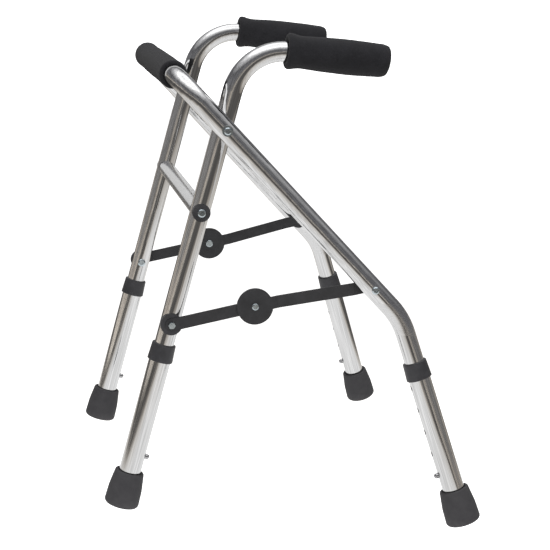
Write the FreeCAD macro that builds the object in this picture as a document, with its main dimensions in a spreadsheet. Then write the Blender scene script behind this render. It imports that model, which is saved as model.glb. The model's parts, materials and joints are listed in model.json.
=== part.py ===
import FreeCAD, Part
import math
import os
import re

import Sketcher

# A folding walking frame. +X points to the rear, where the user stands, +Y to the user's right
# and +Z up. The origin is on the floor, under the middle of the frame.
#
# The front frame is two leaning tubes, each bent over into a handle, with a crossbar between them.
# The rear frame is one bent tube, an upside-down U with kinked legs, outside the front frame. The two
# cross at the pivots and are held apart by a folding stay on each side. Every leg ends in a wider
# lower tube that slides over the upper one and is held by a sprung button in a row of holes.
#
# Stations are distances up a leg's axis from the middle of its rubber sole.

DIMENSIONS = (
    ("upper_tube_radius", 12.7),
    ("lower_tube_radius", 14.3),
    ("tube_wall", 1.5),
    ("sliding_clearance", 0.08),
    ("fitting_gap", 0.05),
    ("running_gap", 0.3),
    # the two frames
    ("pivot_x", -102.0),
    ("front_lean", 13.1),
    ("front_half_width", 195.0),
    ("rear_lean", 19.4),
    ("run_lean", 44.7),
    ("rear_half_width", 223.5),
    ("rear_splay", 0.115),
    ("kink_station", 279.0),
    ("kink_bend_radius", 90.0),
    ("bar_distance", 86.0),
    ("bar_bend_radius", 45.0),
    ("pivot_station", 509.0),
    ("corner_station", 612.0),
    ("handle_bend_radius", 66.0),
    ("handle_droop", 4.0),
    ("handle_length", 179.0),
    # the legs
    ("upper_tube_start", 57.0),
    ("lower_tube_start", 9.0),
    ("lower_tube_top", 219.5),
    ("button_station", 70.0),
    ("hole_pitch", 30.0),
    ("hole_count", 5.0),
    ("hole_radius", 3.6),
    ("button_radius", 3.4),
    ("button_reach", 20.0),
    ("button_flange_radius", 4.2),
    ("button_flange_start", 8.6),
    ("button_flange_thickness", 1.0),
    ("collar_height", 23.0),
    ("collar_top_radius", 15.4),
    ("collar_bottom_radius", 16.6),
    ("collar_lip", 2.5),
    ("collar_edge_radius", 1.0),
    ("sole_radius", 22.8),
    ("sole_edge_radius", 5.0),
    ("groove_depth", 1.2),
    ("groove_width", 2.5),
    ("inner_groove_radius", 5.5),
    ("outer_groove_radius", 11.5),
    ("ferrule_height", 47.0),
    ("ferrule_waist_height", 24.0),
    ("ferrule_waist_radius", 22.0),
    ("ferrule_waist_round", 60.0),
    ("ferrule_top_radius", 18.8),
    ("ferrule_lip_radius", 2.0),
    ("ferrule_washer_radius", 14.0),
    ("ferrule_washer_thickness", 1.5),
    # the leaf spring behind each button
    ("spring_width", 7.0),
    ("spring_thickness", 0.6),
    ("spring_back", 10.3),
    ("spring_top", 42.0),
    ("spring_tail", 7.0),
    ("spring_fold", 3.0),
    # the grips
    ("grip_start", 53.0),
    ("grip_length", 132.5),
    ("grip_end_wall", 6.0),
    ("grip_flange_radius", 22.6),
    ("grip_flange_length", 7.0),
    ("grip_flange_round", 3.0),
    ("grip_neck_start", 18.0),
    ("grip_neck_radius", 20.2),
    ("grip_neck_round", 12.0),
    ("grip_swell_start", 72.0),
    ("grip_swell_radius", 22.0),
    ("grip_swell_round", 120.0),
    ("grip_end_radius", 20.8),
    ("grip_end_round", 6.0),
    ("bar_grip_half_length", 166.0),
    ("bar_grip_radius", 18.0),
    ("bar_grip_end_round", 3.0),
    # the crossbar
    ("crossbar_station", 399.0),
    ("crossbar_radius", 11.1),
    ("inner_saddle_radius", 10.8),
    ("outer_saddle_radius", 11.4),
    ("saddle_thickness", 3.0),
    ("saddle_wrap", 5.0),
    ("crossbar_plug_length", 18.0),
    ("crossbar_thread_length", 14.4),
    # the stays
    ("stay_front_station", 251.0),
    ("stay_rear_distance", 52.5),
    ("front_arm_length", 109.0),
    ("arm_half_width", 8.0),
    ("arm_thickness", 2.0),
    ("disc_radius", 23.5),
    ("disc_gap", 0.4),
    ("arm_step_start", 30.0),
    ("arm_step_end", 22.0),
    ("front_saddle_radius", 14.0),
    ("rear_saddle_radius", 12.4),
    # the fasteners
    ("pivot_bolt_radius", 3.0),
    ("pivot_head_radius", 4.9),
    ("pivot_washer_radius", 6.9),
    ("pivot_washer_thickness", 1.4),
    ("pivot_spacer_thickness", 2.0),
    ("stay_bolt_radius", 2.5),
    ("front_head_radius", 5.7),
    ("rear_head_radius", 4.9),
    ("pivot_nut_radius", 5.6),
    ("stay_nut_radius", 4.7),
    ("crossbar_bolt_radius", 3.0),
    ("crossbar_head_radius", 5.5),
    ("bolt_running_clearance", 0.08),
    ("head_height", 3.4),
    ("head_round", 2.2),
    ("head_seat_gap", 0.65),
    ("nut_height", 5.0),
    ("nut_flats_height", 3.8),
    ("nut_collar_share", 0.82),
    ("thread_end", 0.6),
    ("rivet_head_height", 2.4),
    ("rivet_back_radius", 5.5),
    ("rivet_back_height", 1.7),
    ("rivet_round_share", 0.7),
    ("recess_half_width", 0.55),
    ("recess_half_length", 2.4),
    ("recess_depth", 1.5),
)

PARTS_FOLDER = "parts"
SIDES = (("left", -1), ("right", 1))
UP = FreeCAD.Vector(0, 0, 1)
ACROSS = FreeCAD.Vector(0, 1, 0)

document = FreeCAD.newDocument("walking_frame")
sheet = document.addObject("Spreadsheet::Sheet", "Sizes")
for row, (alias, number) in enumerate(DIMENSIONS, start=1):
    sheet.set(f"A{row}", alias)
    sheet.set(f"B{row}", str(number))
    sheet.setAlias(f"B{row}", alias)
document.recompute()

sub_parts = []
derived = []


def size(alias):
    """A driving dimension, read from the sheet."""
    return float(getattr(sheet, alias))


def derive(alias, number):
    """Add a size that follows from the others to the sheet, for the sketches to use."""
    derived.append(alias)
    row = len(DIMENSIONS) + len(derived)
    sheet.set(f"A{row}", alias)
    sheet.set(f"B{row}", f"{number:.6f}")
    sheet.setAlias(f"B{row}", alias)
    document.recompute()


def bound(text):
    """An expression on the sheet: every alias in the text gets the sheet's name."""
    return re.sub(r"[a-z]+_[a-z_]+", lambda found: f"Sizes.{found.group()}", text)


def value(owner, text):
    """The number that an expression on the sheet comes to."""
    result = owner.evalExpression(bound(text))
    return float(getattr(result, "Value", result))


# ---------------------------------------------------------------- sketches and bodies


def new_body(name):
    body = document.addObject("PartDesign::Body", name)
    body.Label = name
    return body


def origin_plane(body, role):
    return next(plane for plane in body.Origin.OriginFeatures if plane.Role == role)


def new_sketch(body, name, role, offset=None):
    """A sketch on one of the body's origin planes, moved along its normal by an expression."""
    sketch = body.newObject("Sketcher::SketchObject", name)
    sketch.AttachmentSupport = [(origin_plane(body, role), "")]
    sketch.MapMode = "FlatFace"
    if offset:
        sketch.setExpression("AttachmentOffset.Base.z", bound(offset))
    return sketch


def hold_point(sketch, geometry, position, across, up):
    """Tie one point of a sketch to two expressions on the sheet."""
    for kind, text in (("DistanceX", across), ("DistanceY", up)):
        number = value(sketch, text)
        index = sketch.addConstraint(Sketcher.Constraint(kind, -1, 1, geometry, position, number))
        sketch.setExpression(f"Constraints[{index}]", bound(text))


def add_circle(sketch, across, up, radius):
    centre = FreeCAD.Vector(value(sketch, across), value(sketch, up), 0)
    circle = sketch.addGeometry(Part.Circle(centre, UP, value(sketch, radius)))
    hold_point(sketch, circle, 3, across, up)
    index = sketch.addConstraint(Sketcher.Constraint("Radius", circle, value(sketch, radius)))
    sketch.setExpression(f"Constraints[{index}]", bound(radius))


def corner_arc(before, corner, after, radius):
    """Where a rounding of a corner starts and ends, its centre, and whether it turns to the left."""
    back = (before - corner).normalize()
    on = (after - corner).normalize()
    half = back.getAngle(on) / 2
    start = corner + back * (radius / math.tan(half))
    end = corner + on * (radius / math.tan(half))
    centre = corner + (back + on).normalize() * (radius / math.sin(half))
    turns_left = back.cross(on).z < 0
    return start, end, centre, turns_left


def add_outline(sketch, points):
    """A closed outline. Each point is (across, up) or, with its corner rounded, (across, up, radius)."""
    corners = [FreeCAD.Vector(value(sketch, p[0]), value(sketch, p[1]), 0) for p in points]
    count = len(points)
    arcs = {}
    for n, point in enumerate(points):
        if len(point) == 3:
            radius = value(sketch, point[2])
            arcs[n] = corner_arc(corners[n - 1], corners[n], corners[(n + 1) % count], radius)
    lines = []
    for n in range(count):
        after = (n + 1) % count
        start = arcs[n][1] if n in arcs else corners[n]
        end = arcs[after][0] if after in arcs else corners[after]
        lines.append(sketch.addGeometry(Part.LineSegment(start, end)))
    for n, point in enumerate(points):
        into, out = lines[n - 1], lines[n]
        if n not in arcs:
            sketch.addConstraint(Sketcher.Constraint("Coincident", into, 2, out, 1))
            hold_point(sketch, out, 1, point[0], point[1])
        else:
            round_corner(sketch, into, out, corners[n], arcs[n], point)


def round_corner(sketch, into, out, corner, arc, point):
    """Join two lines by a tangent arc, with the corner that it replaces held as a bare point."""
    start, end, centre, turns_left = arc
    first, last = (start, end) if turns_left else (end, start)
    angles = [math.atan2(p.y - centre.y, p.x - centre.x) for p in (first, last)]
    circle = Part.Circle(centre, UP, (start - centre).Length)
    rounding = sketch.addGeometry(Part.ArcOfCircle(circle, angles[0], angles[1]))
    at_start, at_end = (1, 2) if turns_left else (2, 1)
    sketch.addConstraint(Sketcher.Constraint("Tangent", into, 2, rounding, at_start))
    sketch.addConstraint(Sketcher.Constraint("Tangent", rounding, at_end, out, 1))
    index = sketch.addConstraint(Sketcher.Constraint("Radius", rounding, circle.Radius))
    sketch.setExpression(f"Constraints[{index}]", bound(point[2]))
    mark = sketch.addGeometry(Part.Point(corner), True)
    sketch.addConstraint(Sketcher.Constraint("PointOnObject", mark, 1, into))
    sketch.addConstraint(Sketcher.Constraint("PointOnObject", mark, 1, out))
    hold_point(sketch, mark, 1, point[0], point[1])


def turn(body, name, points):
    """Revolve an outline of (radius, height) points about the body's Z axis."""
    sketch = new_sketch(body, f"{name}_outline", "XZ_Plane")
    add_outline(sketch, points)
    feature = body.newObject("PartDesign::Revolution", name)
    feature.Profile = sketch
    feature.ReferenceAxis = (sketch, ["V_Axis"])
    feature.Angle = 360
    return feature


def pad(body, name, sketch, length, midplane=False):
    feature = body.newObject("PartDesign::Pad", name)
    feature.Profile = sketch
    feature.setExpression("Length", bound(length))
    feature.Midplane = midplane
    return feature


def pocket_through(body, name, sketch, midplane=True, backwards=False):
    feature = body.newObject("PartDesign::Pocket", name)
    feature.Profile = sketch
    feature.Type = "ThroughAll"
    feature.Midplane = midplane
    feature.Reversed = backwards
    return feature


def keep(thing, placement=None):
    """Count an object as a sub-part, standing where it belongs."""
    if placement:
        thing.Placement = placement
    sub_parts.append(thing)
    return thing


def group(label, pieces):
    """Several identical pieces as one sub-part of separate solids."""
    compound = document.addObject("Part::Compound", f"{label}_group")
    compound.Links = pieces
    compound.Label = label
    return keep(compound)


# ---------------------------------------------------------------- where things stand


def sole_height(tilt):
    """How far the middle of a tilted sole is off the floor, its rounded edge resting on it."""
    edge, flat = size("sole_edge_radius"), size("sole_radius") - size("sole_edge_radius")
    return edge - edge * math.cos(tilt) + flat * math.sin(tilt)


def side_direction(lean):
    """A direction in the side view, leaning from straight up towards +X."""
    return FreeCAD.Vector(math.sin(lean), 0, math.cos(lean))


FRONT_LEAN = math.radians(size("front_lean"))
REAR_LEAN = math.radians(size("rear_lean"))
RUN_LEAN = math.radians(size("run_lean"))
SPLAY_DIRECTION = side_direction((REAR_LEAN + RUN_LEAN) / -2)

FRONT_UP = side_direction(FRONT_LEAN)
HANDLE_ALONG = side_direction(math.radians(90 + size("handle_droop")))
PIVOT = FreeCAD.Vector(size("pivot_x"), 0, 0) + UP * (
    sole_height(FRONT_LEAN) + size("pivot_station") * math.cos(FRONT_LEAN)
)
FRONT_SOLE = PIVOT - FRONT_UP * size("pivot_station")


def on_front_tube(station, side):
    """A point on a front tube's axis, below its bend."""
    return FRONT_SOLE + FRONT_UP * station + ACROSS * (side * size("front_half_width"))


def splayed(point, side):
    """Move a point of the side view out to the rear frame's sloping side plane."""
    drop = (PIVOT - point).dot(SPLAY_DIRECTION)
    return point + ACROSS * (side * (size("rear_half_width") + size("rear_splay") * drop))


def rear_tilt():
    """The angle of a rear leg to the upright, with its splay."""
    slope = size("rear_splay") * side_direction(-REAR_LEAN).dot(SPLAY_DIRECTION)
    return math.acos(math.cos(REAR_LEAN) / math.hypot(1, slope))


RUN_LENGTH = (
    PIVOT.z - size("kink_station") * math.cos(REAR_LEAN) - sole_height(rear_tilt())
) / math.cos(RUN_LEAN)
KINK = PIVOT - side_direction(-RUN_LEAN) * RUN_LENGTH
REAR_SOLE = KINK - side_direction(-REAR_LEAN) * size("kink_station")
REAR_CORNER = PIVOT + side_direction(-RUN_LEAN) * size("bar_distance")
STAY_REAR = KINK + side_direction(-RUN_LEAN) * size("stay_rear_distance")


def rear_leg_up(side):
    return (splayed(KINK, side) - splayed(REAR_SOLE, side)).normalize()


def run_up(side):
    return (splayed(PIVOT, side) - splayed(KINK, side)).normalize()


def standing(base, along, facing):
    """A placement with local Z along one direction and local X as near as can be to another."""
    return FreeCAD.Placement(base, FreeCAD.Rotation(facing, FreeCAD.Vector(), along, "ZXY"))


def leg_frames():
    """Each leg's name, the placement of its sole, and whether it is a front leg."""
    forwards = FreeCAD.Vector(1, 0, 0)
    for side_name, side in SIDES:
        base = on_front_tube(0, side)
        yield f"front_{side_name}", standing(base, FRONT_UP, forwards)
    for side_name, side in SIDES:
        base = splayed(REAR_SOLE, side)
        yield f"rear_{side_name}", standing(base, rear_leg_up(side), -forwards)


def sideways(base, side):
    """A placement with local Z pointing out of the frame's side."""
    return standing(base, ACROSS * side, FreeCAD.Vector(1, 0, 0))


# ---------------------------------------------------------------- the front frame


def front_tube(side_name, side):
    """A bent tube: local Z runs up the leg from the sole, and the handle turns off towards +X."""
    body = new_body(f"front_tube_{side_name}")
    ring = new_sketch(body, "section", "XY_Plane", "upper_tube_start")
    add_circle(ring, "0", "0", "upper_tube_radius")
    add_circle(ring, "0", "0", "upper_tube_radius - tube_wall")
    path = new_sketch(body, "path", "XZ_Plane")
    add_handle_path(path)
    document.recompute()
    pipe = body.newObject("PartDesign::AdditivePipe", "pipe")
    pipe.Profile = ring
    pipe.Spine = (path, ["Edge1", "Edge2", "Edge3"])
    bolts = new_sketch(body, "bolt_holes", "XZ_Plane")
    add_circle(bolts, "0", "pivot_station", "pivot_bolt_radius + bolt_running_clearance")
    add_circle(bolts, "0", "crossbar_station", "crossbar_bolt_radius + fitting_gap")
    add_circle(bolts, "0", "stay_front_station", "stay_bolt_radius + fitting_gap")
    pocket_through(body, "bolt_pocket", bolts)
    button_hole(body)
    return keep(body, standing(on_front_tube(0, side), FRONT_UP, FreeCAD.Vector(1, 0, 0)))


def add_handle_path(sketch):
    """The tube's centre line: straight up, a bend, and the drooping handle."""
    turned = "(90 - front_lean + handle_droop) * 1 deg"
    run = value(sketch, "corner_station")
    angle = math.radians(90 - size("front_lean") + size("handle_droop"))
    bend, length = size("handle_bend_radius"), size("handle_length")
    start = FreeCAD.Vector(0, size("upper_tube_start"), 0)
    corner = FreeCAD.Vector(0, run, 0)
    end = corner + FreeCAD.Vector(math.sin(angle), math.cos(angle), 0) * length
    arc_start, arc_end, centre, turns_left = corner_arc(start, corner, end, bend)
    leg = sketch.addGeometry(Part.LineSegment(start, arc_start))
    circle = Part.Circle(centre, UP, bend)
    angles = [math.atan2(p.y - centre.y, p.x - centre.x) for p in (arc_end, arc_start)]
    bow = sketch.addGeometry(Part.ArcOfCircle(circle, angles[0], angles[1]))
    handle = sketch.addGeometry(Part.LineSegment(arc_end, end))
    sketch.addConstraint(Sketcher.Constraint("Tangent", leg, 2, bow, 2))
    sketch.addConstraint(Sketcher.Constraint("Tangent", bow, 1, handle, 1))
    index = sketch.addConstraint(Sketcher.Constraint("Radius", bow, bend))
    sketch.setExpression(f"Constraints[{index}]", bound("handle_bend_radius"))
    hold_point(sketch, leg, 1, "0", "upper_tube_start")
    mark = sketch.addGeometry(Part.Point(corner), True)
    sketch.addConstraint(Sketcher.Constraint("PointOnObject", mark, 1, leg))
    sketch.addConstraint(Sketcher.Constraint("PointOnObject", mark, 1, handle))
    hold_point(sketch, mark, 1, "0", "corner_station")
    across = f"handle_length * sin({turned})"
    up = f"corner_station + handle_length * cos({turned})"
    hold_point(sketch, handle, 2, across, up)


def button_hole(body):
    """The hole for the sprung button, through the wall on the local +X side."""
    sketch = new_sketch(body, "button_hole", "YZ_Plane")
    add_circle(sketch, "0", "button_station", "hole_radius")
    return pocket_through(body, "button_pocket", sketch, midplane=False, backwards=True)


# ---------------------------------------------------------------- the legs


def lower_leg(name, frame):
    """The wider lower tube, with its row of holes on the local +X side."""
    body = new_body(f"leg_tube_{name}")
    ring = new_sketch(body, "section", "XY_Plane", "lower_tube_start")
    add_circle(ring, "0", "0", "lower_tube_radius")
    add_circle(ring, "0", "0", "upper_tube_radius + sliding_clearance")
    pad(body, "tube", ring, "lower_tube_top - lower_tube_start")
    hole = button_hole(body)
    document.recompute()
    row = body.newObject("PartDesign::LinearPattern", "hole_row")
    row.Originals = [hole]
    row.Direction = (hole.Profile[0], ["V_Axis"])
    row.setExpression("Length", bound("hole_pitch * (hole_count - 1)"))
    row.setExpression("Occurrences", bound("hole_count"))
    body.Tip = row
    return keep(body, frame)


def collar(name, frame):
    """The plastic collar that caps the lower tube and guides the upper one."""
    body = new_body(f"leg_collar_{name}")
    guide = "upper_tube_radius + sliding_clearance"
    seat = "lower_tube_radius + fitting_gap"
    bottom = "lower_tube_top + collar_lip - collar_height"
    top = "lower_tube_top + collar_lip"
    turn(
        body,
        "collar",
        (
            (seat, bottom),
            ("collar_bottom_radius", bottom, "collar_edge_radius"),
            ("collar_top_radius", top, "collar_edge_radius"),
            (guide, top),
            (guide, "lower_tube_top"),
            (seat, "lower_tube_top"),
        ),
    )
    return keep(body, frame)


def sole_grooves():
    """The outline points of the ring grooves under the sole, from the middle outwards."""
    for radius in ("inner_groove_radius", "outer_groove_radius"):
        yield (radius, "0")
        yield (radius, "groove_depth")
        yield (f"{radius} + groove_width", "groove_depth")
        yield (f"{radius} + groove_width", "0")


def ferrule(name, frame):
    """The rubber foot, flared towards its sole, with a deep socket for the tube."""
    body = new_body(f"ferrule_{name}")
    socket = "lower_tube_radius + fitting_gap"
    floor = "lower_tube_start - ferrule_washer_thickness"
    turn(
        body,
        "ferrule",
        (
            ("0", "0"),
            *sole_grooves(),
            ("sole_radius", "0", "sole_edge_radius"),
            ("ferrule_waist_radius", "ferrule_waist_height", "ferrule_waist_round"),
            ("ferrule_top_radius", "ferrule_height", "ferrule_lip_radius"),
            (f"{socket} + ferrule_lip_radius", "ferrule_height"),
            (socket, "ferrule_height - ferrule_lip_radius"),
            (socket, floor),
            ("0", floor),
        ),
    )
    return keep(body, frame)


def ferrule_washer(name, frame):
    """The steel washer in the socket that keeps the tube from cutting through the rubber."""
    body = new_body(f"ferrule_washer_{name}")
    disc = new_sketch(body, "disc", "XY_Plane", "lower_tube_start - ferrule_washer_thickness")
    add_circle(disc, "0", "0", "ferrule_washer_radius")
    pad(body, "washer", disc, "ferrule_washer_thickness")
    return keep(body, frame)


def snap_button(name, frame):
    """The round-ended pin that locks the leg, flanged inside the upper tube."""
    body = new_body(f"snap_button_{name}")
    shoulder = "button_flange_start + button_flange_thickness"
    turn(
        body,
        "pin",
        (
            ("0", "button_flange_start"),
            ("button_flange_radius", "button_flange_start"),
            ("button_flange_radius", shoulder),
            ("button_radius", shoulder),
            ("button_radius", "button_reach", "button_radius - 2 * fitting_gap"),
            ("0", "button_reach"),
        ),
    )
    across = FreeCAD.Placement(
        UP * size("button_station"), FreeCAD.Rotation(ACROSS, 90)
    )
    return keep(body, frame * across)


def snap_spring(name, frame):
    """The folded leaf spring behind the button, with its back against the tube's far wall."""
    body = new_body(f"snap_spring_{name}")
    strip = new_sketch(body, "folded_strip", "XZ_Plane")
    face, tail = "button_flange_start - fitting_gap", "button_station - spring_tail"
    shoulder, top = "button_station + spring_tail", "button_station + spring_top"
    add_outline(
        strip,
        (
            ("-spring_back", tail),
            ("-spring_back", top),
            ("spring_fold - spring_back", top),
            (face, shoulder),
            (face, tail),
            (f"{face} - spring_thickness", tail),
            (f"{face} - spring_thickness", shoulder),
            ("spring_fold - spring_back", f"{top} - 2 * spring_thickness"),
            ("spring_thickness - spring_back", f"{top} - 2 * spring_thickness"),
            ("spring_thickness - spring_back", tail),
        ),
    )
    pad(body, "spring", strip, "spring_width", midplane=True)
    return keep(body, frame)


# ---------------------------------------------------------------- the rear frame


def bent_wire(points, radii):
    """Straight runs through the points, with a tangent arc at each inner point."""
    edges = []
    start = points[0]
    for before, corner, after, radius in zip(points, points[1:], points[2:], radii):
        back, on = (before - corner).normalize(), (after - corner).normalize()
        half = back.getAngle(on) / 2
        reach = radius / math.tan(half)
        middle = (back + on).normalize()
        arc_start, arc_end = corner + back * reach, corner + on * reach
        crown = corner + middle * (radius / math.sin(half) - radius)
        edges.append(Part.LineSegment(start, arc_start).toShape())
        edges.append(Part.Arc(arc_start, crown, arc_end).toShape())
        start = arc_end
    edges.append(Part.LineSegment(start, points[-1]).toShape())
    return Part.Wire(edges)


def rod_along(wire, radius):
    """A solid round rod along a wire."""
    first = wire.Vertexes[0].Point
    direction = wire.Edges[0].tangentAt(wire.Edges[0].FirstParameter)
    ring = Part.Wire(Part.Circle(first, direction, radius).toShape())
    return wire.makePipeShell([ring], True, False)


def rear_tube_points():
    """The rear tube's route, from the left leg's lower end over the bar to the right leg's."""
    halves = {}
    for side_name, side in SIDES:
        leg_end = splayed(REAR_SOLE, side) + rear_leg_up(side) * size("upper_tube_start")
        halves[side_name] = [leg_end, splayed(KINK, side), splayed(REAR_CORNER, side)]
    return halves["left"] + halves["right"][::-1]


def rear_tube():
    """One tube bent into a bar and two kinked, splayed legs: a route that lies in no one plane."""
    kink, corner = size("kink_bend_radius"), size("bar_bend_radius")
    wire = bent_wire(rear_tube_points(), (kink, corner, corner, kink))
    outside = rod_along(wire, size("upper_tube_radius"))
    inside = rod_along(wire, size("upper_tube_radius") - size("tube_wall"))
    shape = outside.cut([inside, *rear_tube_holes()])
    feature = document.addObject("Part::Feature", "rear_tube")
    feature.Shape = shape.Solids[0]
    feature.Label = "rear_tube"
    return keep(feature)


def rear_tube_holes():
    """Round cutters for the pivot, stay and button holes."""
    length = 4 * size("upper_tube_radius")
    for side_name, side in SIDES:
        outwards = ACROSS * side
        for point, bolt in ((PIVOT, "pivot_bolt_radius"), (STAY_REAR, "stay_bolt_radius")):
            start = splayed(point, side) - outwards * (length / 2)
            radius = size(bolt) + size("fitting_gap")
            yield Part.makeCylinder(radius, length, start, outwards)
    for name, frame in leg_frames():
        if name.startswith("rear"):
            start = frame.multVec(UP * size("button_station"))
            facing = frame.Rotation.multVec(FreeCAD.Vector(1, 0, 0))
            yield Part.makeCylinder(size("hole_radius"), length, start, facing)


# ---------------------------------------------------------------- the grips


def handle_grip(side_name, side):
    """A foam sleeve, closed over the handle's free end."""
    body = new_body(f"handle_grip_{side_name}")
    bore = "upper_tube_radius + fitting_gap"
    turn(
        body,
        "sleeve",
        (
            (bore, "0"),
            ("grip_flange_radius", "0", "grip_flange_round"),
            ("grip_flange_radius", "grip_flange_length", "grip_flange_round"),
            ("grip_neck_radius", "grip_neck_start", "grip_neck_round"),
            ("grip_swell_radius", "grip_swell_start", "grip_swell_round"),
            ("grip_end_radius", "grip_length", "grip_end_round"),
            ("0", "grip_length"),
            ("0", "grip_length - grip_end_wall"),
            (bore, "grip_length - grip_end_wall"),
        ),
    )
    base = on_front_tube(size("corner_station"), side) + HANDLE_ALONG * size("grip_start")
    return keep(body, standing(base, HANDLE_ALONG, UP))


def bar_grip():
    """A plain foam sleeve on the rear frame's bar."""
    body = new_body("bar_grip")
    bore = "upper_tube_radius + fitting_gap"
    turn(
        body,
        "sleeve",
        (
            (bore, "-bar_grip_half_length"),
            ("bar_grip_radius", "-bar_grip_half_length", "bar_grip_end_round"),
            ("bar_grip_radius", "bar_grip_half_length", "bar_grip_end_round"),
            (bore, "bar_grip_half_length"),
        ),
    )
    return keep(body, sideways(REAR_CORNER, 1))


# ---------------------------------------------------------------- the crossbar


def crossbar():
    """The straight tube between the front tubes."""
    body = new_body("crossbar")
    ring = new_sketch(body, "section", "XY_Plane")
    add_circle(ring, "0", "0", "crossbar_radius")
    add_circle(ring, "0", "0", "crossbar_radius - tube_wall")
    half = "(front_half_width - upper_tube_radius - saddle_thickness)"
    pad(body, "tube", ring, f"2 * {half}", midplane=True)
    return keep(body, sideways(CROSSBAR_MIDDLE, 1))


def crossbar_plug(side_name, side):
    """The threaded plug in the crossbar's end that its bolt screws into."""
    body = new_body(f"crossbar_plug_{side_name}")
    ring = new_sketch(body, "section", "XY_Plane")
    add_circle(ring, "0", "0", "crossbar_radius - tube_wall - fitting_gap")
    add_circle(ring, "0", "0", "crossbar_bolt_radius + fitting_gap")
    pad(body, "plug", ring, "crossbar_plug_length")
    reach = size("front_half_width") - size("upper_tube_radius") - size("saddle_thickness")
    body.Placement = sideways(CROSSBAR_MIDDLE + ACROSS * (side * reach), -side)
    return body


def primitive_cylinder(name, radius, length, placement):
    """A cylinder along the placement's local Z, for cutting or for a plain pad."""
    cylinder = document.addObject("Part::Cylinder", name)
    cylinder.setExpression("Radius", bound(radius))
    cylinder.setExpression("Height", bound(length))
    cylinder.Placement = placement
    return cylinder


def saddle(name, radius, thickness, face, inwards, tube_point, tube_along, bolt):
    """A round pad with one flat face, hollowed to sit on a tube, with a bolt hole.

    It starts at its flat face and runs inwards, towards the tube's axis.
    """
    across = standing(face, inwards, tube_along)
    start = tube_point - tube_along * (2 * size(radius))
    disc = primitive_cylinder(f"{name}_disc", radius, f"{thickness} + saddle_wrap", across)
    seat = primitive_cylinder(
        f"{name}_seat",
        "upper_tube_radius + fitting_gap",
        f"4 * {radius}",
        standing(start, tube_along, inwards),
    )
    bore = primitive_cylinder(
        f"{name}_bore", f"{bolt} + fitting_gap", f"2 * {thickness} + saddle_wrap", across
    )
    hollow = document.addObject("Part::MultiFuse", f"{name}_hollow")
    hollow.Shapes = [seat, bore]
    result = document.addObject("Part::Cut", name)
    result.Base = disc
    result.Tool = hollow
    return result


# ---------------------------------------------------------------- the fasteners


def screw(name, head_radius, shank_radius, shank_length):
    """A round-headed cross-recess screw: its head stands on z = 0 and its shank runs down."""
    body = new_body(name)
    turn(
        body,
        "shape",
        (
            ("0", "head_height"),
            (head_radius, "head_height", "head_round"),
            (head_radius, "0"),
            (shank_radius, "0"),
            (shank_radius, f"-{shank_length}"),
            ("0", f"-{shank_length}"),
        ),
    )
    recess = new_sketch(body, "recess", "XY_Plane", "head_height")
    add_outline(recess, cross_points("recess_half_width", "recess_half_length"))
    cut = body.newObject("PartDesign::Pocket", "recess_cut")
    cut.Profile = recess
    cut.setExpression("Length", bound("recess_depth"))
    return body


def cross_points(near, far):
    """The twelve corners of a plus sign."""
    return (
        (near, far),
        (near, near),
        (far, near),
        (far, f"-{near}"),
        (near, f"-{near}"),
        (near, f"-{far}"),
        (f"-{near}", f"-{far}"),
        (f"-{near}", f"-{near}"),
        (f"-{far}", f"-{near}"),
        (f"-{far}", near),
        (f"-{near}", near),
        (f"-{near}", far),
    )


def lock_nut(name, radius, bolt):
    """A six-sided nut with a round locking collar: it stands on z = 0."""
    body = new_body(name)
    flats = new_sketch(body, "flats", "XY_Plane")
    corners = [f"{angle} deg" for angle in range(0, 360, 60)]
    add_outline(flats, [(f"{radius} * cos({a})", f"{radius} * sin({a})") for a in corners])
    add_circle(flats, "0", "0", f"{bolt} + fitting_gap")
    pad(body, "nut", flats, "nut_flats_height")
    ring = new_sketch(body, "ring", "XY_Plane")
    add_circle(ring, "0", "0", f"{radius} * nut_collar_share")
    add_circle(ring, "0", "0", f"{bolt} + fitting_gap")
    pad(body, "locking_collar", ring, "nut_height")
    return body


def rivet(name, head_radius, head_height):
    """A domed head on z = 0 with a shank as long as one arm is thick."""
    body = new_body(name)
    turn(
        body,
        "shape",
        (
            ("0", head_height),
            (head_radius, head_height, f"{head_height} * rivet_round_share"),
            (head_radius, "0"),
            ("stay_bolt_radius", "0"),
            ("stay_bolt_radius", "-arm_thickness"),
            ("0", "-arm_thickness"),
        ),
    )
    return body


def placed(thing, placement):
    """Stand a piece where it belongs, and give it back."""
    thing.Placement = placement
    return thing


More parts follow.
